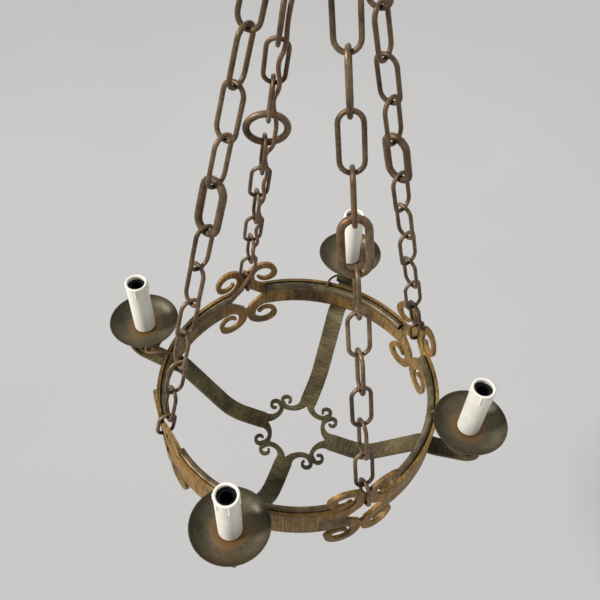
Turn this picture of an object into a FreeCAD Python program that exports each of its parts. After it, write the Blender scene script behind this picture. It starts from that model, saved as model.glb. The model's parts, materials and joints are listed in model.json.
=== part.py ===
import FreeCAD
import Part
import math
import os

V = FreeCAD.Vector
Z = V(0, 0, 1)

# Ring: a band made of four quarter segments with split and scrolled ends
ring_od = 362.0
band_t = 4.5
band_h = 44.0
crotch_s = 26.0        # where a segment's end splits, measured from the cluster's centre
neck_low = 26.0        # neck above the band's mid height, lower end
neck_high = 38.0
curl_r1 = 26.0         # first, second and third turn of a scroll
curl_r2 = 20.0
curl_r3 = 15.0
neck_w = 13.0
far_w = 7.0
tip_w = 4.5
tenon_w = 15.0

# Spokes
bar_w = 24.0
bar_t = 4.5
rosette_drop = 79.0    # bar's centre plane at the rosette, below the band's lower edge
bend_low = 45.0
bend_up = 12.0
climb_deg = 48.0
rise_deg = 14.0
volute_r1 = 21.5
volute_r2 = 15.0
volute_r3 = 9.5
rosette_split_r = 45.0
bar_start_r = 54.0     # the bar's inner end, between the rosette's arms
climb_back = 102.0    # the climb starts this far inside the ring's outer face
under_reach = 5.0      # flat run past the ring's outer face
light_reach = 36.0     # light's axis past the ring's outer face

# Conduit tubes
tube_od = 10.0
tube_wall = 1.0
tube_z = 39.0
tube_half_deg = 35.5

# Lights
pan_r = 44.4
pan_floor_z = 65.0
pan_depth = 11.0
pan_t = 1.5
nipple_od = 10.0
nipple_bore = 7.0
collar_od = 17.0
nut_af = 14.0
nut_h = 4.0
sleeve_od = 27.0
sleeve_wall = 1.6
sleeve_h = 84.5
holder_r = 11.0
holder_h = 78.0
thread_r = 6.9
thread_len = 22.0

# Chains
wire = 4.5
link_w = 25.0
end_pitch = 31.0
end_w = 24.0
oval_pitch = 49.0
oval_w = 32.0
round_pitch = 35.0
thick_wire = 7.5
chain_len = 697.0
links_low = 6
links_high = 7
link_gap = 0.04

# Suspension at the ceiling
ring_wire = 8.0
top_ring_r = 25.0
top_spread = 6.2       # spacing of the four top links along the ring
hook_wire = 7.0
hook_r = 11.5
hook_drop = 42.0
swing_gap = 0.3
bracket_gap = 3.8      # between the bracket's ends and the rose's wall
bracket_w = 20.0
bracket_t = 2.5
screw_spacing = 70.0
screw_r = 2.5
rose_r = 55.0
rose_depth = 22.0
rose_hole_r = 30.5
rose_t = 1.2
cable_d = 4.6
lead_d = 3.2
fit_gap = 0.05         # clearance between pieces that pass through or lie on each other

ring_r = ring_od / 2
bend_start_r = ring_r - climb_back
flat_end_r = ring_r + under_reach
light_r = ring_r + light_reach
band_in = ring_r - band_t
wire_flat = wire / 2 * 0.952
thick_flat = thick_wire / 2 * 0.952
bracket_l = 2 * (rose_r - rose_t - bracket_gap)


def pol(r, deg, z):
    a = math.radians(deg)
    return V(r * math.cos(a), r * math.sin(a), z)


def spin(shape, deg):
    out = shape.copy()
    out.rotate(V(0, 0, 0), Z, deg)
    return out


def moved(shape, v):
    out = shape.copy()
    out.translate(v)
    return out


def cyl(r, z0, z1, x=0.0, y=0.0):
    return Part.makeCylinder(r, z1 - z0, V(x, y, z0))


def block(x0, x1, y0, y1, z0, z1):
    return Part.makeBox(x1 - x0, y1 - y0, z1 - z0, V(x0, y0, z0))


def line(a, b):
    return Part.makeLine(a, b)


def arc(a, m, b):
    return Part.Arc(a, m, b).toShape()


def on(c, r, deg):
    """Point at an angle on a circle, in a drawing plane's two coordinates."""
    a = math.radians(deg)
    return (c[0] + r * math.cos(a), c[1] + r * math.sin(a))


def outline(start, moves, place):
    """Closed wire from a start point and moves: (end,) is a line, (mid, end) an arc."""
    edges = []
    here = start
    for move in moves + [(start,)]:
        a, b = place(here), place(move[-1])
        if a.distanceToPoint(b) > 1e-6:
            if len(move) == 1:
                edges.append(line(a, b))
            else:
                edges.append(arc(a, place(move[0]), b))
        here = move[-1]
    return Part.Wire(edges)


def loop(path, flat, normal, sides=6):
    """Closed bar of even section along a closed polygon, mitred at its corners."""
    mid = (path[0] + path[1]) * 0.5
    run = (path[1] - path[0]).normalize()
    side = run.cross(normal)
    r = flat / math.cos(math.pi / sides)
    section = [mid + side * (r * math.sin(2 * math.pi * k / sides))
               + normal * (r * math.cos(2 * math.pi * k / sides)) for k in range(sides + 1)]
    spine = Part.makePolygon([mid] + path[1:] + [path[0], mid])
    return spine.makePipeShell([Part.makePolygon(section)], True, True, 1).removeSplitter()


def link(low, along, normal, pitch, width, flat, thick):
    """Oblong chain link whose inner length is pitch, from the contact point low upwards."""
    across = along.cross(normal)
    hw = (width - thick) / 2
    hl = pitch / 2 + flat
    cut = hw * (1 - math.tan(math.pi / 8))
    centre = low + along * (pitch / 2)
    corners = [(hw, cut - hl), (hw, hl - cut), (hw - cut, hl), (cut - hw, hl),
               (-hw, hl - cut), (-hw, cut - hl), (cut - hw, -hl), (hw - cut, -hl)]
    path = [centre + across * x + along * y for x, y in corners]
    return loop(path, flat, normal)


def round_link(low, along, normal, pitch, flat, corners=12):
    """Round ring whose inner diameter is pitch."""
    across = along.cross(normal)
    centre = low + along * (pitch / 2)
    r = (pitch / 2 + flat) / math.cos(math.pi / corners)
    path = []
    for k in range(corners):
        a = 2 * math.pi * (k + 0.5) / corners
        path.append(centre + across * (r * math.cos(a)) + along * (r * math.sin(a)))
    return loop(path, flat, normal)


def route(points, radii):
    """Straight runs joined by tangent arcs."""
    edges = []
    here = points[0]
    for k in range(1, len(points) - 1):
        p = points[k]
        u = (points[k - 1] - p).normalize()
        w = (points[k + 1] - p).normalize()
        half = math.acos(max(-1.0, min(1.0, u.dot(w)))) / 2
        cut = radii[k - 1] / math.tan(half)
        a, b = p + u * cut, p + w * cut
        bis = (u + w).normalize()
        centre = p + bis * (radii[k - 1] / math.sin(half))
        edges.append(line(here, a))
        edges.append(arc(a, centre - bis * radii[k - 1], b))
        here = b
    edges.append(line(here, points[-1]))
    return Part.Wire(edges)


def cord(points, radii, d, sides=8):
    """Cord of even section along a route, and its length."""
    spine = route(points, radii)
    run = (points[1] - points[0]).normalize()
    side = run.cross(V(0.31, 0.87, 0.21)).normalize()
    other = run.cross(side)
    r = d / 2 / math.sqrt(math.sin(2 * math.pi / sides) * sides / (2 * math.pi))
    section = [points[0] + side * (r * math.cos(2 * math.pi * k / sides))
               + other * (r * math.sin(2 * math.pi * k / sides)) for k in range(sides + 1)]
    return spine.makePipeShell([Part.makePolygon(section)], True, False), spine.Length


def polar_ring(r_in, r_out, z0, z1, half_deg):
    """Part of a hoop centred on +X."""
    face = Part.Face(Part.makePolygon([V(r_in, 0, z0), V(r_out, 0, z0), V(r_out, 0, z1),
                                       V(r_in, 0, z1), V(r_in, 0, z0)]))
    return spin(face, -half_deg).revolve(V(0, 0, 0), Z, 2 * half_deg)


# ---- where things stand -------------------------------------------------------------
# The chains' lower ends bear on the scroll necks, their upper ends on the top ring, so
# the wheel's height follows from the chain length.
ring_top_z = -hook_drop + hook_wire / 2 + swing_gap + ring_wire / 2
ring_c_z = ring_top_z - top_ring_r
pivot_z = ring_c_z - top_ring_r
bear_r = top_ring_r - ring_wire / 2


def top_bearing(x):
    """Underside of a top link that sits on the top ring at x."""
    tilt = -0.6
    return V(x, 0, ring_c_z - math.sqrt(bear_r ** 2 - (abs(x) - tilt) ** 2) + swing_gap + 0.5)


neck_z = band_h / 2 + neck_low - 0.9
anchor_r = ring_r - band_t / 2 + 0.15
side_x = 1.5 * top_spread
mean_top = (top_bearing(side_x) + top_bearing(top_spread / 2)) * 0.5
reach = math.hypot(anchor_r * math.sqrt(0.5), anchor_r * math.sqrt(0.5) - top_spread)
z0 = mean_top.z - math.sqrt(chain_len ** 2 - reach ** 2) - neck_z   # band's lower edge


# ---- ring segments ------------------------------------------------------------------
def scroll_moves():
    """Upper arm's outline in (distance from the cluster's centre, height over mid band)."""
    c1 = (curl_r1, neck_high)
    c2 = (curl_r1, neck_high + curl_r1 - curl_r2)
    far = curl_r1 + curl_r2
    c3 = (far - curl_r3, c2[1])
    tip = on(c3, curl_r3, 200)
    tip_in = on(c3, curl_r3 - tip_w, 200)
    half = band_h / 2
    root_r = 17.5
    root = (neck_w + root_r, half + root_r)
    arch = 3.4
    arch_c = (0, neck_low - arch)
    return [((arch, arch_c[1] - 2.4),), ((arch, arch_c[1]),), (on(arch_c, arch, 45), (0, neck_low)),
            ((0, neck_high),),
            (on(c1, curl_r1, 135), (curl_r1, neck_high + curl_r1)),
            (on(c2, curl_r2, 45), (far, c2[1])),
            (on(c3, curl_r3, -80), tip), (tip_in,),
            (on(c3, curl_r3 - 5.8, -90), (far - far_w, c2[1])),
            ((curl_r1 - 0.5, neck_high + curl_r1 - 9.5), (neck_w, root[1])),
            (on(root, root_r, 225), (root[0], half)), ((crotch_s + 8, half),)]


def scroll_end(side):
    """One scrolled end: both arms, cut from a hoop, at the cluster's +45 or -45 side."""
    up = scroll_moves()
    down = [tuple((p[0], -p[1]) for p in m) for m in up]
    turned = up + [(down[-1][-1],)]
    for k in range(len(down) - 1, 0, -1):
        mid = down[k][:-1]
        turned.append(mid + (down[k - 1][-1],))
    turned.append(((crotch_s, 0),))

    def place(p):
        return V(ring_r * 0.78, -side * p[0], p[1] + band_h / 2)

    face = Part.Face(outline((crotch_s, 0), turned, place))
    slab = face.extrude(V(ring_r * 0.3, 0, 0))
    low, high = band_h / 2 - neck_high - 2 * curl_r1, band_h / 2 + neck_high + 2 * curl_r1
    hoop = cyl(ring_r, low, high).cut(cyl(band_in, low - 1, high + 1))
    return spin(slab.common(hoop), side * 45)


def segment():
    half_deg = 45 - math.degrees((crotch_s + 6) / ring_r)
    body = polar_ring(band_in, ring_r, 0, band_h, half_deg)
    tenon = polar_ring(band_in, ring_r, -bar_t, 1, math.degrees(tenon_w / 2 / ring_r))
    body = body.fuse([tenon, scroll_end(1), scroll_end(-1)]).removeSplitter()
    return body.Solids[0]


# ---- spokes -------------------------------------------------------------------------
class Pen:
    """Draws both edges of a strip of even thickness from turns and straight runs."""

    def __init__(self, x, y, heading, half):
        self.x, self.y, self.h, self.half = x, y, heading, half
        self.left, self.right = [], []

    def pt(self, off):
        a = math.radians(self.h)
        return V(self.x - off * math.sin(a), 0, self.y + off * math.cos(a))

    def run(self, length):
        a0, b0 = self.pt(self.half), self.pt(-self.half)
        a = math.radians(self.h)
        self.x += length * math.cos(a)
        self.y += length * math.sin(a)
        self.left.append(line(a0, self.pt(self.half)))
        self.right.append(line(b0, self.pt(-self.half)))

    def turn(self, r, deg):
        """Turn left by deg (right if negative) on a centre-line radius r."""
        s = 1 if deg > 0 else -1
        a = math.radians(self.h)
        cx, cy = self.x - s * r * math.sin(a), self.y + s * r * math.cos(a)
        pts = [(self.pt(self.half), self.pt(-self.half))]
        start = self.h
        for f in (0.5, 1.0):
            self.h = start + deg * f
            b = math.radians(self.h)
            self.x, self.y = cx + s * r * math.sin(b), cy - s * r * math.cos(b)
            pts.append((self.pt(self.half), self.pt(-self.half)))
        self.left.append(arc(pts[0][0], pts[1][0], pts[2][0]))
        self.right.append(arc(pts[0][1], pts[1][1], pts[2][1]))

    def face(self):
        first = line(self.right[0].Vertexes[0].Point, self.left[0].Vertexes[0].Point)
        last = line(self.left[-1].Vertexes[-1].Point, self.right[-1].Vertexes[-1].Point)
        edges = [first] + self.left + [last] + self.right
        return Part.Face(Part.Wire(Part.__sortEdges__(edges)))


climb = math.radians(climb_deg)
level_z = -bar_t / 2
fall = rosette_drop + level_z
climb_run = (fall - (bend_low + bend_up) * (1 - math.cos(climb))) / math.sin(climb)
level_r = bend_start_r + (bend_low + bend_up) * math.sin(climb) + climb_run * math.cos(climb)
rise = math.radians(rise_deg)
foot_r = light_r + volute_r1 * math.sin(rise)
ease_r = 20.0
ease = ease_r * math.tan(rise / 2)
foot_z = level_z + (foot_r - flat_end_r - ease) * math.tan(rise)
volute_c_z = foot_z + volute_r1 * math.cos(rise)
volute_top = volute_c_z + volute_r1 + bar_t / 2


def bar():
    pen = Pen(bar_start_r, -rosette_drop, 0.0, bar_t / 2)
    pen.run(bend_start_r - bar_start_r)
    pen.turn(bend_low, climb_deg)
    pen.run(climb_run)
    pen.turn(bend_up, -climb_deg)
    pen.run(flat_end_r - level_r)
    pen.turn(ease_r, rise_deg)
    pen.run((foot_r - flat_end_r - ease) / math.cos(rise) - ease)
    pen.turn(volute_r1, 180 - rise_deg)
    pen.turn(volute_r2, 180)
    pen.turn(volute_r3, 100)
    strip = moved(pen.face(), V(0, -bar_w / 2, 0)).extrude(V(0, bar_w, 0))
    half = math.degrees((tenon_w / 2 + 0.05) / ring_r)
    slot = polar_ring(band_in - 0.05, ring_r + 0.05, -bar_t - 1, 1, half)
    hole = cyl(nipple_od / 2 + fit_gap, volute_top - bar_t - 1, volute_top + 1, light_r)
    return strip.cut(slot).cut(hole)


def rosette_arm(side):
    """Split and curled arm at a spoke's inner end, drawn from the diagonal it meets."""
    k = rosette_split_r * math.sqrt(0.5)
    c1, c2 = (8.5, 52), (11, 52)
    root = bar_w / 2 * math.sqrt(2)
    far = 48.0
    moves = [((13, 32.2), (0, 42)), ((0, 52),),
             (on(c1, 8.5, 90), (17, 52)), (on(c2, 6, -55), on(c2, 6, -110)),
             (on(c2, 3, -110),), (on(c2, 2.6, -55), (13, 52)), (on((9, 52), 4, 90), (5, 52)),
             ((5, 46),), ((14.5, 38.2), (28.3, 28.3 + root)), ((far, far + root),),
             ((far + root / 2, far + root / 2),)]
    e = V(math.sqrt(0.5), side * math.sqrt(0.5), 0)
    n = V(math.sqrt(0.5), -side * math.sqrt(0.5), 0)

    def place(p):
        return e * p[1] + n * p[0] + Z * (-rosette_drop - bar_t / 2)

    return Part.Face(outline((k, k), moves, place)).extrude(Z * bar_t)


def spoke():
    body = bar().fuse([rosette_arm(1), rosette_arm(-1)]).removeSplitter()
    return body.Solids[0]


# ---- build the wheel ----------------------------------------------------------------
parts = {}
lengths = {}
names = ["right", "back", "left", "front"]
lift = V(0, 0, z0)
seg, spk = moved(segment(), lift), moved(spoke(), lift)
tube_r = band_in - tube_od / 2 - fit_gap
ring_face = Part.Face(Part.Wire(Part.makeCircle(tube_od / 2, V(tube_r, 0, tube_z), V(0, 1, 0))))
bore_face = Part.Face(Part.Wire(Part.makeCircle(tube_od / 2 - tube_wall, V(tube_r, 0, tube_z), V(0, 1, 0))))
tube = spin(ring_face.cut(bore_face), -tube_half_deg).revolve(V(0, 0, 0), Z, 2 * tube_half_deg)
lead_y = 18.0
outlet = cyl(lead_d / 2 + 0.4, tube_z, tube_z + tube_od, 0, 0)
outlet_a = math.degrees(lead_y / tube_r)
outlet = moved(outlet, pol(tube_r, outlet_a, 0))
tube = moved(tube.cut(outlet), lift)

pan_top = pan_floor_z + pan_depth
pan_under = pan_floor_z - pan_t
pan_edges = outline((0, pan_floor_z), [((20, pan_floor_z),), ((36, pan_floor_z + 2.6), (43.2, pan_top),),
                    ((pan_r, pan_top),), ((36.9, pan_floor_z + 1.3), (20, pan_under)),
                    ((0, pan_under),)], lambda p: V(p[0], 0, p[1]))
pan = Part.Face(pan_edges).revolve(V(0, 0, 0), Z, 360).cut(cyl(nipple_od / 2 + fit_gap, 0, 100))
nut_r = nut_af / 2 / math.cos(math.pi / 6)
turn_c_z = volute_c_z + volute_r1 - volute_r2
nut_z = turn_c_z + math.sqrt((volute_r2 - bar_t / 2) ** 2 - nut_r ** 2) - nut_h
nipple_low = nut_z - 2
nipple = cyl(nipple_od / 2, nipple_low, pan_floor_z + 9).cut(cyl(nipple_bore / 2, 0, 100))
collar = cyl(collar_od / 2, volute_top, pan_under).cut(cyl(nipple_od / 2 + fit_gap, 0, 100))
hexagon = Part.makePolygon([V(nut_r * math.cos(k * math.pi / 3), nut_r * math.sin(k * math.pi / 3), nut_z)
                            for k in range(7)])
nut = Part.Face(hexagon).extrude(Z * nut_h).cut(cyl(nipple_od / 2, 0, 100))
holder = cyl(holder_r, pan_floor_z, pan_floor_z + holder_h)
holder = holder.cut(cyl(nipple_od / 2 + fit_gap, 0, pan_floor_z + 9))
holder = holder.cut(cyl(nipple_bore / 2, 0, pan_floor_z + 14))
holder = holder.cut(cyl(thread_r, pan_floor_z + holder_h - thread_len, pan_floor_z + holder_h + 1))
sleeve = cyl(sleeve_od / 2, pan_floor_z, pan_floor_z + sleeve_h)
sleeve = sleeve.cut(cyl(sleeve_od / 2 - sleeve_wall, 0, pan_floor_z + sleeve_h + 1))
at_light = V(light_r, 0, z0)

lead_pts = [pol(tube_r, outlet_a, tube_z), pol(tube_r, outlet_a, band_h + 12),
            V(light_r, lead_y, volute_c_z - 6), V(light_r, 0, volute_c_z + 3),
            V(light_r, 0, pan_floor_z + 12)]
lead, lead_len = cord(lead_pts, [5.0, 7.0, 5.0], lead_d, 6)
lengths["lamp lead"] = lead_len
lead = moved(lead, lift)

for i, name in enumerate(names):
    a = 90 * i
    parts["ring_segment_" + name] = spin(seg, a)
    parts["spoke_" + name] = spin(spk, a)
    parts["conduit_tube_" + name] = spin(tube, a)
    parts["lamp_lead_" + name] = spin(lead, a)
    for label, piece in (("drip_pan", pan), ("nipple", nipple), ("spacer_collar", collar),
                         ("lampholder", holder), ("candle_sleeve", sleeve)):
        parts[label + "_" + name] = spin(moved(piece, at_light), a)
parts["lock_nuts"] = Part.makeCompound([spin(moved(nut, at_light), 90 * i) for i in range(4)])

# ---- chains -------------------------------------------------------------------------
chains = [("back_right", 45, side_x), ("back_left", 135, -top_spread / 2),
          ("front_left", 225, -side_x), ("front_right", 315, top_spread / 2)]
for name, az, x in chains:
    low = pol(anchor_r, az, z0 + neck_z)
    high = top_bearing(x)
    along = high - low
    total = along.Length
    along.normalize()
    around = pol(1, az + 90, 0)
    normal = (around - along * around.dot(along)).normalize()
    want = (V(1, 0, 0) - along * along.x).normalize()
    conn = round_pitch if name == "back_left" else oval_pitch
    low_count, high_count = round(links_low), round(links_high)
    count = low_count + high_count + 2
    if (count - 1) % 2:
        want = along.cross(want)
    twist = math.degrees(math.atan2(normal.cross(want).dot(along), normal.dot(want)))
    twist = (twist + 90) % 180 - 90
    pitch = (total - end_pitch - conn) / (low_count + high_count)
    if name == "back_left":
        cable_twist, cable_pitch = twist, pitch
    groups = {"end_link_": [], "lower_links_": [], "connector_link_": [], "upper_links_": []}
    here = low
    for k in range(count):
        turn = FreeCAD.Rotation(along, 90 * k + twist * k / (count - 1))
        n = turn.multVec(normal)
        if k == 0:
            groups["end_link_"].append(link(here, along, n, end_pitch + link_gap, end_w, wire_flat, wire))
            here = here + along * end_pitch
        elif k == low_count + 1:
            if name == "back_left":
                groups["connector_link_"].append(round_link(here, along, n, conn + link_gap, thick_flat))
            else:
                groups["connector_link_"].append(link(here, along, n, conn + link_gap, oval_w,
                                                      thick_flat, thick_wire))
            here = here + along * conn
        else:
            key = "lower_links_" if k <= low_count else "upper_links_"
            groups[key].append(link(here, along, n, pitch + link_gap, link_w, wire_flat, wire))
            here = here + along * pitch
    for key in groups:
        parts[key + name] = Part.makeCompound(groups[key]) if len(groups[key]) > 1 else groups[key][0]

# ---- supply cable, beside the back left chain ---------------------------------------
low = pol(anchor_r, 135, z0 + neck_z)
high = top_bearing(-top_spread / 2)
along = (high - low).normalize()
inward = pol(-1, 135, 0)
inward = (inward - along * inward.dot(along)).normalize()


def beside(up, x, y):
    """Point up the chain, x towards the axis and y to the left segment's side."""
    turn = FreeCAD.Rotation(along, cable_twist * up / (high - low).Length)
    return low + along * up + turn.multVec(inward * x + along.cross(inward) * y)


tube_end_a = 180 - tube_half_deg
tube_end = pol(tube_r, tube_end_a, z0 + tube_z)
heading = pol(1, tube_end_a - 90, 0)
snug = 7.6
run = (high - low).Length
cable_pts = [tube_end - heading * 14, tube_end + heading * 9]
cable_pts += [beside(run * f, snug, snug) for f in (0.089, 0.287, 0.488, 0.689)]
cable_pts += [beside(run - 2.82 * cable_pitch, snug, snug),
              beside(run - 2.18 * cable_pitch, -snug, snug + 1),
              V(-11, 21, pivot_z - 14), V(-10, 14, pivot_z + 48), V(-10, 14, pivot_z + 70)]
cable, cable_len = cord(cable_pts, [7.0, 60.0, 80.0, 80.0, 80.0, 12.0, 12.0, 14.0, 30.0], cable_d)
parts["supply_cable"] = cable
lengths["supply cable"] = cable_len

# ---- top ring and ceiling fitting ---------------------------------------------------
ring_section = [V(top_ring_r + ring_wire / 2 * math.cos(math.radians(k * 45 + 22.5)) / math.cos(math.pi / 8),
                  ring_wire / 2 * math.sin(math.radians(k * 45 + 22.5)) / math.cos(math.pi / 8), ring_c_z)
                for k in range(9)]
parts["top_ring"] = Part.Face(Part.makePolygon(ring_section)).revolve(V(0, 0, ring_c_z), V(0, 1, 0), 360)

bowl = hook_r - 0.1
hook_way = route([V(0, 0, -0.5), V(0, 0, -13), V(0, -hook_r, -22), V(0, -hook_r, -hook_drop),
                  V(0, hook_r, -hook_drop), V(0, hook_r, 19 - hook_drop)], [6.0, 8.0, bowl, bowl])
hook_disc = Part.Wire(Part.makeCircle(hook_wire / 2, V(0, 0, -0.5), Z))
parts["ceiling_hook"] = hook_way.makePipeShell([hook_disc], True, False)
strap = block(-bracket_l / 2, bracket_l / 2, -bracket_w / 2, bracket_w / 2, -bracket_t, 0)
strap = strap.cut(cyl(hook_wire / 2 + 0.02, -10, 1))
for s in (-1, 1):
    strap = strap.cut(cyl(screw_r, -10, 1, s * screw_spacing / 2))
parts["ceiling_bracket"] = strap
hex2 = 12.0 / 2 / math.cos(math.pi / 6)
nut2 = Part.makePolygon([V(hex2 * math.cos(k * math.pi / 3), hex2 * math.sin(k * math.pi / 3), -bracket_t)
                         for k in range(7)])
parts["hook_nut"] = Part.Face(nut2).extrude(Z * -4.5).cut(cyl(hook_wire / 2 + 0.02, -10, 1))

rim_in = rose_r - rose_t
bend = 12.0
rose_c = (rose_r - bend, bend - rose_depth)
rose_edges = outline((rose_hole_r, -rose_depth), [
    ((rose_r - bend, -rose_depth),), (on(rose_c, bend, -45), (rose_r, bend - rose_depth)), ((rose_r, 0),),
    ((rim_in, 0),), ((rim_in, bend - rose_depth),),
    (on(rose_c, bend - rose_t, -45), (rose_r - bend, rose_t - rose_depth)),
    ((rose_hole_r, rose_t - rose_depth),)], lambda p: V(p[0], 0, p[1]))
parts["ceiling_rose"] = Part.Face(rose_edges).revolve(V(0, 0, 0), Z, 360)
terminal = block(-15, 15, 12, 28, -9, 0)
for s in (-1, 0, 1):
    terminal = terminal.cut(Part.makeCylinder(1.6, 20, V(s * 9.0, 10, -5), V(0, 1, 0)))
parts["terminal_block"] = terminal

os.makedirs("parts", exist_ok=True)
for node, shape in parts.items():
    shape.exportStep("parts/" + node + ".step")
    box = shape.BoundBox
    print(node, shape.isValid(), len(shape.Solids), round(shape.Volume), len(shape.Faces),
          round(box.ZMin, 1), round(box.ZMax, 1))
print("z0", round(z0, 2), "pivot", round(pivot_z, 2), {k: round(v) for k, v in lengths.items()})
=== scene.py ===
import json
import math

import bmesh
import bpy
from mathutils import Matrix, Vector, noise


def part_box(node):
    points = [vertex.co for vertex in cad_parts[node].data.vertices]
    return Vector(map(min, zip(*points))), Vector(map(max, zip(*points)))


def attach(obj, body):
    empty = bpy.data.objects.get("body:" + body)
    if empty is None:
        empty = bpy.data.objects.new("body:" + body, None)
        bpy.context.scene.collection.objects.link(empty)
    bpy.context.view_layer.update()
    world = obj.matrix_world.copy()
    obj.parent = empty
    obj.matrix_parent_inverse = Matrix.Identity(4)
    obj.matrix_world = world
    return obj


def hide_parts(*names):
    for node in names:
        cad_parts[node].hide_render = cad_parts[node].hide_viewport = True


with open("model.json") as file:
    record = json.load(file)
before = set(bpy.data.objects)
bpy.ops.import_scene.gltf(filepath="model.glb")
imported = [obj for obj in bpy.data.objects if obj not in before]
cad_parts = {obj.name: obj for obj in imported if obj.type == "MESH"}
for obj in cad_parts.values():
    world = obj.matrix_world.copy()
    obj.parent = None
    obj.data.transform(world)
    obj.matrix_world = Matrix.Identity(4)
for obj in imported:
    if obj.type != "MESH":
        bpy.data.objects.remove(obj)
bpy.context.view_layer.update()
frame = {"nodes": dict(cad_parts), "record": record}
nodes = frame["nodes"]
scene = bpy.context.scene
lights = ("right", "back", "left", "front")
band_low = -0.79988        # height of the ring band's lower edge

# ---- camera, at the photo's viewing angle -------------------------------------------
picture_px = 600
focal_px = 704
sensor_width = 36.0
pitch = math.radians(49.5)
roll = math.radians(2.4)
turn = math.radians(18.0)
eye_at = Vector((0.1548, -0.4846, band_low + 0.8033))

right = Vector((math.cos(turn), math.sin(turn), 0))
ahead = Vector((-math.sin(turn), math.cos(turn), 0))
look = ahead * math.cos(pitch) - Vector((0, 0, math.sin(pitch)))
above = ahead * math.sin(pitch) + Vector((0, 0, math.cos(pitch)))
cam_x = right * math.cos(roll) + above * math.sin(roll)
cam_y = above * math.cos(roll) - right * math.sin(roll)
cam = bpy.data.cameras.new("camera")
cam.sensor_width = sensor_width
cam.lens = sensor_width * focal_px / picture_px
cam.clip_start = 0.02
eye = bpy.data.objects.new("camera", cam)
scene.collection.objects.link(eye)
eye.matrix_world = Matrix.Translation(eye_at) @ Matrix((cam_x, cam_y, -look)).transposed().to_4x4()
scene.camera = eye
scene.render.resolution_x = picture_px
scene.render.resolution_y = picture_px
scene.view_settings.view_transform = "Standard"


# ---- materials ----------------------------------------------------------------------
class Mat:
    """Builds one procedural node material."""

    def __init__(self, name):
        self.material = bpy.data.materials.new(name)
        self.material.use_nodes = True
        self.tree = self.material.node_tree
        self.shader = self.tree.nodes["Principled BSDF"]
        self.position = self.tree.nodes.new("ShaderNodeTexCoord").outputs["Object"]

    def put(self, socket, value):
        """Link an output to a socket, or set the socket's own value."""
        if isinstance(value, bpy.types.NodeSocket):
            self.tree.links.new(value, socket)
        else:
            socket.default_value = value

    def node(self, kind, **sockets):
        made = self.tree.nodes.new(kind)
        for key, value in sockets.items():
            self.put(made.inputs[key.replace("_", " ")], value)
        return made

    def stretch(self, scales):
        """Position scaled by its own factor along each axis."""
        return self.node("ShaderNodeMapping", Vector=self.position, Scale=scales).outputs["Vector"]

    def noise(self, scale, detail=4.0, rough=0.55, vector=None, distortion=0.0):
        made = self.node("ShaderNodeTexNoise", Vector=vector or self.position, Scale=scale,
                         Detail=detail, Roughness=rough, Distortion=distortion)
        return made.outputs["Fac"]

    def ramp(self, fac, *stops):
        """Colours blended between stops, each a place from 0 to 1 and a colour."""
        made = self.node("ShaderNodeValToRGB", Fac=fac)
        elements = made.color_ramp.elements
        while len(elements) < len(stops):
            elements.new(0.5)
        for element, (at, colour) in zip(elements, stops):
            element.position = at
            element.color = (*colour, 1)
        return made.outputs["Color"]

    def roughness(self, fac, low, high):
        self.set(Roughness=self.ramp(fac, (0.3, (low,) * 3), (0.7, (high,) * 3)))

    def mix(self, fac, under, over, blend="MIX"):
        """Blend a plain colour or another output over an output."""
        made = self.tree.nodes.new("ShaderNodeMix")
        made.data_type = "RGBA"
        made.blend_type = blend
        self.put(made.inputs[0], fac)
        self.put(made.inputs[6], under)
        self.put(made.inputs[7], over if isinstance(over, bpy.types.NodeSocket) else (*over, 1))
        return made.outputs[2]

    def calc(self, operation, a, b=0.0):
        made = self.tree.nodes.new("ShaderNodeMath")
        made.operation = operation
        self.put(made.inputs[0], a)
        self.put(made.inputs[1], b)
        return made.outputs[0]

    def from_light(self, reach):
        """Distance from the nearest light's axis. The axes stand at reach on +X, +Y, -X and -Y."""
        xyz = self.node("ShaderNodeSeparateXYZ", Vector=self.position)
        x, y = (self.calc("ABSOLUTE", xyz.outputs[k]) for k in "XY")
        out = self.calc("SUBTRACT", self.calc("MAXIMUM", x, y), reach)
        side = self.calc("MINIMUM", x, y)
        squares = self.calc("ADD", self.calc("MULTIPLY", out, out), self.calc("MULTIPLY", side, side))
        return self.calc("SQRT", squares)

    def bump(self, height, strength, distance, under=None):
        made = self.node("ShaderNodeBump", Height=height, Strength=strength, Distance=distance)
        if under is not None:
            self.put(made.inputs["Normal"], under)
        self.put(self.shader.inputs["Normal"], made.outputs["Normal"])
        return made.outputs["Normal"]

    def set(self, **sockets):
        for key, value in sockets.items():
            self.put(self.shader.inputs[key.replace("_", " ")], value)


nothing = (0, 0, 0)
unchanged = (1, 1, 1)
pit_dark = (0.25, 0.22, 0.2)
# Colour multiplied in as painted shade in corners and where parts meet.
corner_shade_colour = (0.22, 0.2, 0.18)
pan_warm = (0.21, 0.105, 0.032)
warm_from, warm_to = 0.0165, 0.029     # a pan's warm ring fades out between these radii
rim_from, rim_to = 0.0428, 0.0436      # a pan's dark rim sets in between these radii


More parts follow.
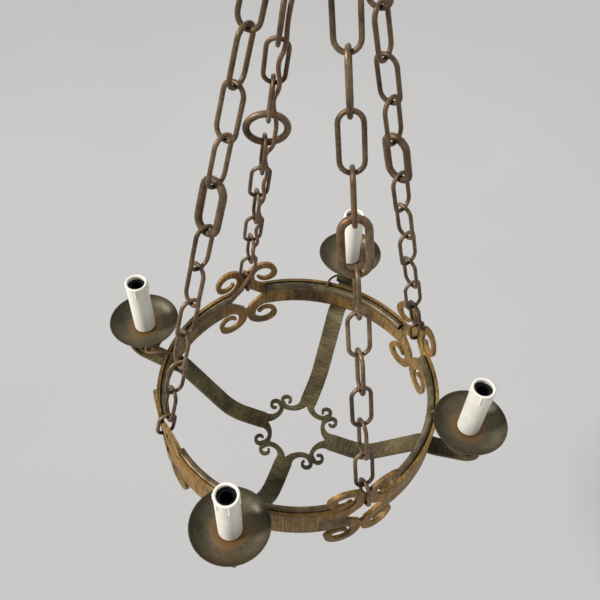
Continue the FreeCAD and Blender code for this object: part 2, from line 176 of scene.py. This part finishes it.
def bronze(name, dark, mid, light, rust, stretch, rough, metal, streak=0.7, depth=0.0004, light_at=None):
    """Iron with a bronze lacquer: patches, streaks, pits, and painted shade in its corners."""
    m = Mat(name)
    patches = m.noise(scale=16.0, detail=6.0, rough=0.62)
    base = m.ramp(patches, (0.34, dark), (0.50, mid), (0.68, light))
    rusty = m.noise(scale=11.0, detail=4.0, rough=0.6, distortion=0.6)
    base = m.mix(m.ramp(rusty, (0.50, nothing), (0.66, (0.8, 0.8, 0.8))), base, rust)
    lines = m.noise(scale=1.0, detail=5.0, rough=0.7, vector=m.stretch(stretch))
    tone = m.ramp(lines, (0.36, (0.25, 0.23, 0.2)), (0.50, (0.85, 0.83, 0.8)), (0.66, (1.5, 1.42, 1.3)))
    colour = m.mix(streak, base, m.mix(1.0, base, tone, "MULTIPLY"))
    pits = m.ramp(m.noise(scale=260.0, detail=5.0, rough=0.75), (0.34, pit_dark), (0.48, unchanged))
    colour = m.mix(0.6, colour, m.mix(1.0, colour, pits, "MULTIPLY"))
    if light_at is not None:
        uneven = m.calc("MULTIPLY", m.noise(scale=45.0, detail=3.0), 0.008)
        warm = m.ramp(m.calc("ADD", m.from_light(light_at), uneven),
                      (warm_from, (0.9, 0.9, 0.9)), (warm_to, nothing))
        colour = m.mix(warm, colour, pan_warm)
        rim = m.ramp(m.from_light(light_at), (rim_from, unchanged), (rim_to, pit_dark))
        colour = m.mix(1.0, colour, rim, "MULTIPLY")
    # Painted shade: ambient occlusion darkens the colour in corners, in creases and where parts meet.
    corners = m.node("ShaderNodeAmbientOcclusion", Distance=0.009)
    corners.samples = 6
    shade_in_corners = m.ramp(corners.outputs["AO"], (0.25, corner_shade_colour), (0.85, unchanged))
    colour = m.mix(1.0, colour, shade_in_corners, "MULTIPLY")
    m.set(Base_Color=colour, Metallic=metal, Specular_IOR_Level=0.3)
    m.roughness(m.noise(scale=60.0), rough - 0.1, rough + 0.15)
    streaked = m.bump(lines, strength=0.6, distance=depth)
    m.bump(m.noise(scale=330.0, detail=4.0, rough=0.6), strength=0.3, distance=depth * 0.6, under=streaked)
    return m.material


def plain(name, dark, light, rough, metal=0.0, scale=40.0, specular=0.5):
    """Two near colours in soft patches, with a slightly uneven surface."""
    m = Mat(name)
    m.set(Base_Color=m.ramp(m.noise(scale), (0.3, dark), (0.7, light)), Metallic=metal,
          Specular_IOR_Level=specular)
    m.roughness(m.noise(scale * 2, detail=3.0), rough - 0.06, rough + 0.08)
    m.bump(m.noise(scale * 5, detail=3.0), strength=0.15, distance=0.0003)
    return m.material


iron = bronze("iron", (0.07, 0.043, 0.015), (0.255, 0.155, 0.048), (0.42, 0.27, 0.09),
              (0.31, 0.16, 0.042), stretch=(420, 420, 22), rough=0.55, metal=0.35)
spoke_colours = (0.045, 0.038, 0.019), (0.115, 0.096, 0.046), (0.19, 0.16, 0.08), (0.135, 0.092, 0.038)
spoke_x = bronze("spoke_x", *spoke_colours, stretch=(620, 60, 620), rough=0.55, metal=0.35, streak=0.85)
spoke_y = bronze("spoke_y", *spoke_colours, stretch=(60, 620, 620), rough=0.55, metal=0.35, streak=0.85)
chain_iron = bronze("chain_iron", (0.06, 0.04, 0.022), (0.155, 0.103, 0.056), (0.27, 0.19, 0.115),
                    (0.19, 0.105, 0.048), stretch=(160, 160, 90), rough=0.42, metal=0.45, streak=0.5)
tube_iron = bronze("tube_iron", (0.04, 0.032, 0.017), (0.125, 0.1, 0.052), (0.21, 0.17, 0.095),
                   (0.15, 0.09, 0.04), stretch=(60, 60, 200), rough=0.45, metal=0.4)
pan_iron = bronze("pan_iron", (0.062, 0.052, 0.03), (0.09, 0.076, 0.043), (0.125, 0.105, 0.062),
                  (0.125, 0.085, 0.04), stretch=(90, 90, 90), rough=0.45, metal=0.3, streak=0.25,
                  depth=0.00015, light_at=0.217)
wax = plain("wax", (0.83, 0.78, 0.66), (0.90, 0.87, 0.78), rough=0.38, scale=22.0)
holder_black = plain("holder", (0.002, 0.002, 0.003), (0.005, 0.005, 0.007), rough=0.25, specular=0.2)
cable_brown = plain("cable", (0.10, 0.045, 0.018), (0.20, 0.095, 0.04), rough=0.5)
white_plastic = plain("terminal", (0.7, 0.7, 0.68), (0.85, 0.85, 0.83), rough=0.4)
steel = plain("steel", (0.22, 0.20, 0.18), (0.42, 0.40, 0.37), rough=0.4, metal=0.9)
by_slot = {"candle_cream": wax, "holder_black": holder_black, "cable_brown": cable_brown,
           "terminal_white": white_plastic, "tube_bronze": tube_iron, "pan_bronze": pan_iron,
           "chain_bronze": chain_iron, "fixing_steel": steel, "iron_bronze": iron}
slot_of = {part["node"]: part["material_slot"] for part in frame["record"]["subparts"]}


def material_of(name):
    """A spoke's streaks run along it, so the two directions have a material each."""
    if name in ("spoke_right", "spoke_left"):
        return spoke_x
    if name in ("spoke_back", "spoke_front"):
        return spoke_y
    return by_slot[slot_of[name]]


def paint(obj, material):
    if obj.material_slots:
        for slot in obj.material_slots:
            slot.material = material
    else:
        obj.data.materials.append(material)


for name, obj in nodes.items():
    paint(obj, material_of(name))


# ---- pieces of the scene ---------------------------------------------------------------
def mesh_object(name, bm, material):
    mesh = bpy.data.meshes.new(name)
    bm.to_mesh(mesh)
    bm.free()
    obj = bpy.data.objects.new(name, mesh)
    scene.collection.objects.link(obj)
    mesh.materials.append(material)
    return obj


def shade(obj, sharp_from=math.radians(60)):
    """Smooth shading across shallow edges, sharp across steep ones."""
    bm = bmesh.new()
    bm.from_mesh(obj.data)
    for face in bm.faces:
        face.smooth = True
    for edge in bm.edges:
        edge.smooth = len(edge.link_faces) != 2 or edge.calc_face_angle(0) < sharp_from
    bm.to_mesh(obj.data)
    bm.free()


def dress(prefix, node, bm, body):
    """Put a finished mesh in a CAD node's place, on the same body and with the same slot's material."""
    slot = slot_of[node]
    obj = mesh_object(prefix + node, bm, by_slot[slot])
    shade(obj)
    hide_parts(node)
    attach(obj, body)


# ---- chain links: smooth bent wire in place of the mitred bars -----------------------
link_wire = 0.0045
connector_wire = 0.0075
flat_share = 0.952         # half the CAD bar's width, as a share of the wire's radius
wire_sides = 14
wire_wobble = 0.05
ring_steps = 40
bend_steps = 10
power_steps = 60           # enough for the two axes to settle
round_connector = "connector_link_back_left"


def islands(obj):
    """Vertex positions of each separate solid of a CAD node."""
    bm = bmesh.new()
    bm.from_mesh(obj.data)
    bm.transform(obj.matrix_world)
    bmesh.ops.remove_doubles(bm, verts=bm.verts, dist=2e-6)
    bm.verts.index_update()
    seen = set()
    groups = []
    for start in bm.verts:
        if start.index in seen:
            continue
        stack = [start]
        group = []
        seen.add(start.index)
        while stack:
            vert = stack.pop()
            group.append(vert.co.copy())
            for edge in vert.link_edges:
                other = edge.other_vert(vert)
                if other.index not in seen:
                    seen.add(other.index)
                    stack.append(other)
        groups.append(group)
    bm.free()
    return groups


def closed_wire(bm, path, radius):
    """Round bar along a closed path, made by carrying a frame along it."""
    count = len(path)
    rows = []
    normal = (path[1] - path[-1]).normalized().orthogonal().normalized()
    for k, p in enumerate(path):
        t = (path[(k + 1) % count] - path[(k - 1) % count]).normalized()
        normal = (normal - t * normal.dot(t)).normalized()
        side = t.cross(normal)
        r = radius * (1 + wire_wobble * (noise.noise(p * 120) - 0.1))
        angles = [2 * math.pi * j / wire_sides for j in range(wire_sides)]
        rows.append([bm.verts.new(p + (normal * math.cos(a) + side * math.sin(a)) * r) for a in angles])
    # The frame comes round turned, so the last row joins the first at its nearest corner.
    first = rows[0][0].co - path[0]
    shift = min(range(wire_sides), key=lambda s: (rows[-1][s].co - path[-1] - first).length)
    for k in range(count):
        lower, upper = rows[k], rows[(k + 1) % count]
        off = shift if k == count - 1 else 0
        for j in range(wire_sides):
            bm.faces.new((lower[(j + off) % wire_sides], lower[(j + 1 + off) % wire_sides],
                          upper[(j + 1) % wire_sides], upper[j]))


def smooth_link(bm, pts, wire, is_ring):
    """Link of round wire that lies where a mitred one does, found from that one's corners."""
    centre = sum(pts, Vector()) / len(pts)
    spread = [[sum((p - centre)[i] * (p - centre)[j] for p in pts) for j in range(3)] for i in range(3)]
    spread = Matrix(spread) * (1e6 / len(pts))
    along = Vector((0.2, 0.15, -0.97))
    for _ in range(power_steps):
        along = (spread @ along).normalized()
    inverse = spread.inverted()
    thin = Vector((0.7, 0.6, 0.1))
    for _ in range(power_steps):
        thin = (inverse @ thin).normalized()
    across = thin.cross(along).normalized()
    flat = wire / 2 * flat_share
    half_long, half_wide = (max(abs((p - centre).dot(d)) for p in pts) - flat for d in (along, across))
    path = []
    if is_ring:
        # The CAD ring has twelve corners, and the smooth one runs between them.
        r = half_long * math.cos(math.pi / 12) if half_long > half_wide else half_long
        for k in range(ring_steps):
            a = 2 * math.pi * k / ring_steps
            path.append(centre + along * (r * math.cos(a)) + across * (r * math.sin(a)))
    else:
        for end in (1, -1):
            for k in range(bend_steps + 1):
                a = math.pi * k / bend_steps
                up = half_long - half_wide + half_wide * math.sin(a)
                path.append(centre + along * (end * up) + across * (end * half_wide * math.cos(a)))
    closed_wire(bm, path, wire / 2)


for name, obj in nodes.items():
    if "link" in name:
        wire = connector_wire if name.startswith("connector") else link_wire
        bm = bmesh.new()
        for pts in islands(obj):
            smooth_link(bm, pts, wire, name == round_connector)
        dress("smooth_", name, bm, "wheel")

# ---- candle sleeves: wax lip, drips and a rounded foot --------------------------------
# Each drip: where it runs (degrees round the sleeve) and how far below the top it ends.
drips = {"front": ((-112, 0.0135), (-55, 0.0185), (-163, 0.0105), (8, 0.012), (95, 0.015)),
         "right": ((-88, 0.0160), (-30, 0.0165), (-168, 0.0110), (60, 0.013), (140, 0.018)),
         "left": ((-68, 0.0155), (-160, 0.0120), (-15, 0.0130), (40, 0.017), (110, 0.011)),
         "back": ((-2, 0.0150), (-120, 0.0125), (-165, 0.0140), (75, 0.018), (130, 0.010))}
sleeve_wall = 0.0016
sleeve_sides = 220
lip_in = 0.0105            # radius of the hole that the wax lip leaves
lip_out = 0.0004           # how far the lip stands out from the sleeve
foot_round = 0.0022
skin_thick = 0.00035       # skin of wax below the lip: thickness, end, and the end's variation
skin_end = 0.0046
skin_vary = 0.0010
skin_fade = 0.0006
drip_half = 0.0011         # a drip's half width, and how much it swells just above its end
drip_swell = 0.0004
swell_up = 0.0015
swell_reach = 0.002
drip_out = 0.0011          # how far a drip stands out at its top, and how much more at its end
drip_end_out = 0.0006
drips_from = 0.0016        # the rows that carry the drips, from the top down
drip_step = 0.00045
drip_rows = 44


def drip_height(name, angle, h, r):
    """How far the wax stands out at a place round the sleeve, h below its top."""
    spot = Vector((math.cos(angle) * 2, math.sin(angle) * 2, len(name)))
    edge = skin_end + skin_vary * noise.noise(spot)
    out = skin_thick * min(1.0, max(0.0, (edge - h) / skin_fade)) ** 0.5
    for at, run in drips[name]:
        aside = abs((math.degrees(angle) - at + 180) % 360 - 180) * math.pi / 180 * r
        width = drip_half + drip_swell * max(0.0, 1 - abs(h - run + swell_up) / swell_reach)
        past = max(0.0, h - run + width)
        share = 1 - (aside / width) ** 2 - (past / width) ** 2
        if share > 0:
            out = max(out, (drip_out + drip_end_out * (h / run) ** 3) * math.sqrt(share))
    return out


def candle(name):
    """Sleeve turned from rows of radius and depth below its top, with its drips."""
    node = "candle_sleeve_" + name
    low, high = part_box(node)
    mid = (low + high) / 2
    r = (high.x - low.x) / 2
    r_in = r - sleeve_wall
    height = high.z - low.z
    inside = [(r_in, height), (r_in, 0.0058), (lip_in + 0.0006, 0.0035), (lip_in, 0.0018),
              (lip_in + 0.0005, 0.0006), (lip_in + 0.0014, 0.0)]
    crown = [(r - 0.0008, 0.0), (r + lip_out * 0.6, 0.0005), (r + lip_out, 0.0012)]
    outside = [drips_from + drip_step * k for k in range(drip_rows)]
    outside += [0.035, 0.06, height - 2 * foot_round]
    foot = [(r - foot_round * (1 - math.cos(a)), height - foot_round * (1 - math.sin(a)))
            for a in (0.0, 0.4, 0.8, 1.2, math.pi / 2)]
    bm = bmesh.new()
    rings = []
    for i in range(sleeve_sides):
        a = 2 * math.pi * i / sleeve_sides
        rows = inside + crown + [(r + drip_height(name, a, h, r), h) for h in outside] + foot
        rings.append([bm.verts.new((mid.x + q * math.cos(a), mid.y + q * math.sin(a), high.z - h))
                      for q, h in rows])
    for i in range(sleeve_sides):
        one, two = rings[i], rings[(i + 1) % sleeve_sides]
        for k in range(len(one)):
            n = (k + 1) % len(one)
            bm.faces.new((one[k], one[n], two[n], two[k]))
    bmesh.ops.recalc_face_normals(bm, faces=bm.faces)
    dress("waxed_", node, bm, "sleeve_" + name)


for name in drips:
    candle(name)


# ---- cords ----------------------------------------------------------------------------
def cord(name, points, diameter):
    """Smooth cable led by a route's points, in place of its plain tube."""
    curve = bpy.data.curves.new("smooth_" + name, "CURVE")
    curve.dimensions = "3D"
    curve.bevel_depth = diameter / 2
    curve.bevel_resolution = 6
    curve.use_fill_caps = True
    line = curve.splines.new("NURBS")
    line.points.add(len(points) - 1)
    for control, p in zip(line.points, points):
        control.co = (*p, 1)
    line.order_u = 3
    line.use_endpoint_u = True
    line.resolution_u = 8
    curve.materials.append(cable_brown)
    obj = bpy.data.objects.new("smooth_" + name, curve)
    scene.collection.objects.link(obj)
    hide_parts(name)
    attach(obj, "wheel")


chain_low = Vector((-0.1265, 0.1265, -0.75278))
chain_high = Vector((-0.0031, 0, -0.07907))
chain_mm = 696.5
chain_twist = math.radians(-44.0)
along = (chain_high - chain_low).normalized()
inward = Vector((1, -1, 0)).normalized()
inward = (inward - along * inward.dot(along)).normalized()


def beside(up, x, y):
    """Point up the back left chain, x towards the axis and y to the left segment's side, in mm."""
    out = inward * x + along.cross(inward) * y
    turned = Matrix.Rotation(chain_twist * up / chain_mm, 3, along) @ out
    return chain_low + (along * up + turned) * 0.001


from_tube = [Vector((-0.1477, 0.0882, -0.7609)), Vector((-0.1344, 0.1069, -0.7609))]
woven = [(57, 6.8, 6.8), (79, 7.3, 7.3), (104, 0.5, 0.5), (128, 7.3, 7.3), (152, 3, 1), (176, 7.3, 7.3),
         (201, 0, 1), (225, 7.4, 7.2), (249, 2, 3), (273, 7.3, 7.3), (298, 1, 0), (321, 8.2, 8.2),
         (340, 8, 8), (358, 8.2, 8.2), (381, 1, 1), (406, 7.4, 7.4), (430, 3, 1), (454, 7.4, 7.4),
         (480, 5, 5), (520, 7.6, 7.6), (559.7, 7.6, 7.6), (590.8, -7.6, 8.6)]
to_rose = [Vector((-0.011, 0.021, -0.0982)), Vector((-0.010, 0.014, -0.0362)),
           Vector((-0.010, 0.014, -0.0142))]
cord("supply_cable", from_tube + [beside(*p) for p in woven] + to_rose, diameter=0.0046)

lead = [(0.1705, 0.018, -0.7609), (0.1705, 0.018, -0.7439), (0.217, 0.018, -0.7789),
        (0.217, 0, -0.7699), (0.217, 0, -0.7229)]
for k, name in enumerate(lights):
    quarter_turns = Matrix.Rotation(math.pi / 2 * k, 3, "Z")
    cord("lamp_lead_" + name, [quarter_turns @ Vector(p) for p in lead], diameter=0.0032)

# ---- floor ----------------------------------------------------------------------------
floor_half = 14
floor_drop = 0.9           # below the band's lower edge
floor_mat = Mat("floor")
shades = floor_mat.noise(scale=1.5, detail=2.0)
floor_mat.set(Base_Color=floor_mat.ramp(shades, (0.3, (0.445, 0.44, 0.435)), (0.7, (0.46, 0.455, 0.45))),
              Roughness=0.9)
bm = bmesh.new()
bmesh.ops.create_grid(bm, x_segments=1, y_segments=1, size=floor_half)
floor = mesh_object("floor", bm, floor_mat.material)
floor.location = (0, 0, band_low - floor_drop)


# ---- light ----------------------------------------------------------------------------
def place(x, y, z):
    """Point given along the camera's right, ahead, and height over the ring."""
    p = right * x + ahead * y
    return Vector((p.x, p.y, band_low + z))


def light_object(data, where):
    """Put a light in the scene, facing the ring's centre."""
    obj = bpy.data.objects.new(data.name, data)
    scene.collection.objects.link(obj)
    obj.location = where
    obj.rotation_euler = (Vector((0, 0, band_low)) - where).to_track_quat("-Z", "Y").to_euler()


def lamp(name, where, size, power, colour):
    data = bpy.data.lights.new(name, "AREA")
    data.shape = "RECTANGLE"
    data.size, data.size_y = size
    data.energy = power
    data.color = colour
    light_object(data, where)


lamp("fill", place(1.6, -0.6, 1.2), size=(1.6, 1.6), power=4, colour=(0.95, 0.97, 1.0))
lamp("back", place(-0.3, 1.9, 1.0), size=(1.8, 1.2), power=8, colour=(1, 1, 1))
sun = bpy.data.lights.new("window", "SUN")
sun.energy = 4.1
sun.angle = math.radians(14)
sun.color = (1.0, 0.98, 0.95)
light_object(sun, place(-1.6, -0.45, 1.3))

# The world lights the object softly and shows as a pale backdrop.
world = bpy.data.worlds.new("world")
scene.world = world
world.use_nodes = True
tree = world.node_tree
soft = tree.nodes["Background"]
soft.inputs["Color"].default_value = (0.86, 0.90, 0.95, 1)
soft.inputs["Strength"].default_value = 0.42
pale = tree.nodes.new("ShaderNodeBackground")
pale.inputs["Color"].default_value = (0.62, 0.64, 0.66, 1)
rays = tree.nodes.new("ShaderNodeLightPath")
shows = rays.outputs["Is Camera Ray"]
for ray in ("Is Glossy Ray", "Is Transmission Ray"):
    either = tree.nodes.new("ShaderNodeMath")
    either.operation = "MAXIMUM"
    tree.links.new(shows, either.inputs[0])
    tree.links.new(rays.outputs[ray], either.inputs[1])
    shows = either.outputs[0]
choose = tree.nodes.new("ShaderNodeMixShader")
tree.links.new(shows, choose.inputs[0])
tree.links.new(soft.outputs[0], choose.inputs[1])
tree.links.new(pale.outputs[0], choose.inputs[2])
tree.links.new(choose.outputs[0], tree.nodes["World Output"].inputs["Surface"])
